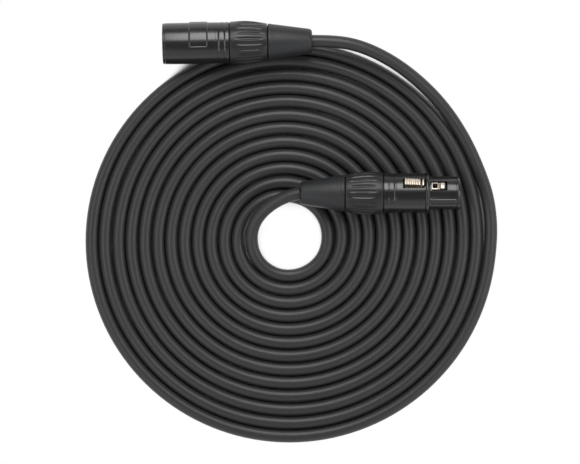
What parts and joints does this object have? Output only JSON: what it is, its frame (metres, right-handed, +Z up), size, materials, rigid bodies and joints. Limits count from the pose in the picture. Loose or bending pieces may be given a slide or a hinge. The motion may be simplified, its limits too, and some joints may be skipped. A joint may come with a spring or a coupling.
{
  "type": "microphone cable coil",
  "caption": "Microphone cable wound in a flat spiral, with a male and a female three-pin round connector, latch, fluted back nuts and rubber boots.",
  "frame": {"origin": "middle of the whole object's outline, on the surface that the coil lies on", "axes": "+Z up from the floor, +Y towards the male connector's side of the coil, +X towards the face of the female connector"},
  "size_m": [0.1937, 0.1987, 0.0255],
  "materials": {
    "cable_jacket": "satin",
    "black_metal": "satin black lacquer",
    "nut_plastic": "moulded, fine grain",
    "boot_rubber": "matte",
    "insert_plastic": "moulded",
    "contact_metal": "silver plated",
    "latch_metal": "nickel plated",
    "spring_steel": "bright",
    "seal_rubber": "matte",
    "clamp_plastic": "moulded",
    "hot_insulation": "extruded",
    "cold_insulation": "extruded",
    "copper": "bare stranded copper",
    "solder": "smooth"
  },
  "bodies": {
    "root": {"cable_coil": "cable_jacket", "cable_lead_female": "cable_jacket", "cable_lead_male": "cable_jacket", "female_cable_clamp": "clamp_plastic", "female_cable_end": "cable_jacket", "female_cold_wire": "cold_insulation", "female_contact_1": "contact_metal", "female_contact_2": "contact_metal", "female_contact_3": "contact_metal", "female_drain_wire": "copper", "female_face_seal": "seal_rubber", "female_hot_wire": "hot_insulation", "female_insert": "insert_plastic", "female_latch_pin": "spring_steel", "female_latch_spring": "spring_steel", "female_shell": "black_metal", "female_solder": "solder", "male_cable_clamp": "clamp_plastic", "male_cable_end": "cable_jacket", "male_cold_wire": "cold_insulation", "male_drain_wire": "copper", "male_hot_wire": "hot_insulation", "male_insert": "insert_plastic", "male_pin_1": "contact_metal", "male_pin_2": "contact_metal", "male_pin_3": "contact_metal", "male_shell": "black_metal", "male_solder": "solder"},
    "latch": {"female_latch": "latch_metal"},
    "female_boot_body": {"female_boot": "boot_rubber"},
    "female_nut_body": {"female_back_nut": "nut_plastic"},
    "male_boot_body": {"male_boot": "boot_rubber"},
    "male_nut_body": {"male_back_nut": "nut_plastic"}
  },
  "joints": [
    {"name": "latch_press", "type": "hinge", "parent": "root", "child": "latch", "pos_m": [0.04825, 0.02135, 0.02001], "axis": [0, 0.866, -0.5], "range_deg": [0, 3.5], "stiffness_Nm_per_rad": 0.05, "springref_deg": -17.19, "deforming": ["female_latch_spring"]},
    {"name": "female_boot_slide", "type": "slide", "parent": "root", "child": "female_boot_body", "axis": [-1, 0, 0], "range_m": [0, 0.004]},
    {"name": "female_nut_turn", "type": "hinge", "parent": "female_boot_body", "child": "female_nut_body", "pos_m": [0.0433, 0.01878, 0.01555], "axis": [-1, 0, 0], "range_deg": [0, 1440]},
    {"name": "male_boot_slide", "type": "slide", "parent": "root", "child": "male_boot_body", "axis": [0.9999, 0.0148, 0], "range_m": [0, 0.004]},
    {"name": "male_nut_turn", "type": "hinge", "parent": "male_boot_body", "child": "male_nut_body", "pos_m": [-0.02835, 0.08931, 0.01555], "axis": [0.9999, 0.0148, 0], "range_deg": [0, 1440]}
  ],
  "couplings": [
    {"joint": "female_boot_slide", "follows": "female_nut_turn", "m_per_rad": 0.00015915},
    {"joint": "male_boot_slide", "follows": "male_nut_turn", "m_per_rad": 0.00015915}
  ]
}
